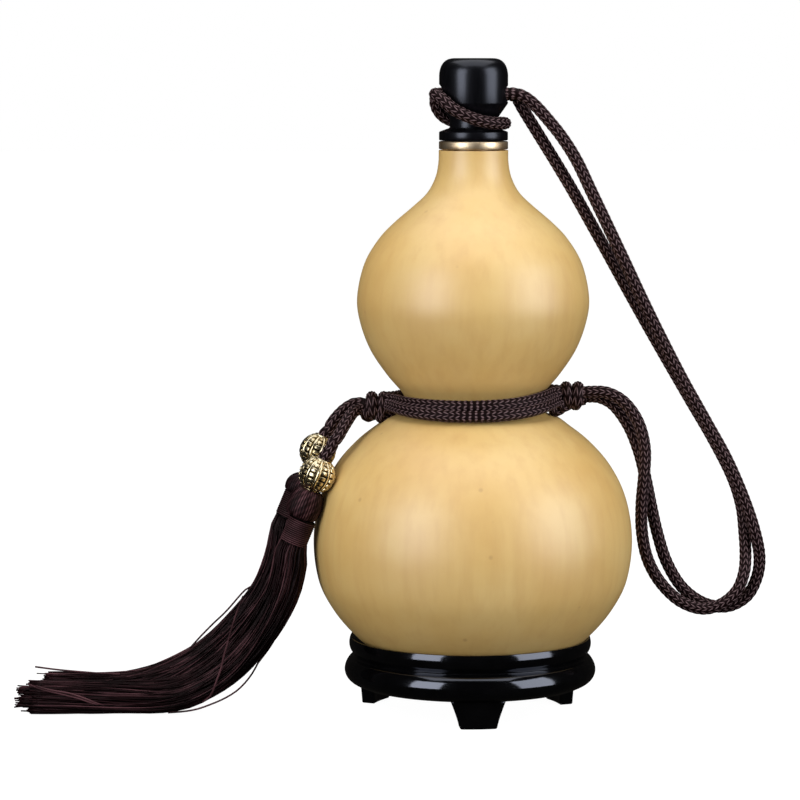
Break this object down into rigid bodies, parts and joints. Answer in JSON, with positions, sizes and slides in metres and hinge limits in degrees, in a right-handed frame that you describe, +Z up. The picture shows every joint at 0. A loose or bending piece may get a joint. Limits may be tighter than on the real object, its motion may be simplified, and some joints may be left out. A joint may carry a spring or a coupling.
{
  "type": "dried bottle gourd",
  "caption": "Dried two-lobed bottle gourd made into a stoppered flask, with a braided strap, brass beads and silk tassels, on a turned black stand.",
  "frame": {"origin": "on the floor under the gourd's axis, at the centre of the box round the gourd, its stopper and its stand", "axes": "+Z up along the gourd's axis, -Y towards the viewer of the picture, +X to the right, where the strap hangs"},
  "size_m": [0.2499, 0.1062, 0.2179],
  "materials": {
    "gourd_rind": "satin dried rind, honey yellow",
    "mouth_brass": "polished, warm",
    "stopper_black": "satin black turned wood",
    "cork": "natural cork",
    "stand_lacquer": "high gloss black lacquer",
    "braided_cord": "knitted dark purple-brown cord",
    "bead_brass": "antique, dark in its recesses",
    "tassel_silk": "dark maroon silk thread"
  },
  "bodies": {
    "root": {"gourd": "gourd_rind", "mouth_ring": "mouth_brass", "stopper": "stopper_black", "stopper_cork": "cork", "stand_ring": "stand_lacquer", "stand_foot_front": "stand_lacquer", "stand_foot_left": "stand_lacquer", "stand_foot_right": "stand_lacquer", "waist_cord_upper": "braided_cord", "waist_cord_lower": "braided_cord", "knot_right": "braided_cord", "knot_left": "braided_cord", "stopper_hitch": "braided_cord", "strap_outer": "braided_cord", "strap_inner": "braided_cord", "tassel_cord_front": "braided_cord", "tassel_cord_back": "braided_cord", "bead_front": "bead_brass", "bead_back": "bead_brass", "tassel_front_head": "tassel_silk", "tassel_back_head": "tassel_silk", "tassel_front_wrap": "tassel_silk", "tassel_back_wrap": "tassel_silk", "tassel_front_skirt": "tassel_silk", "tassel_back_skirt": "tassel_silk"}
  },
  "joints": []
}
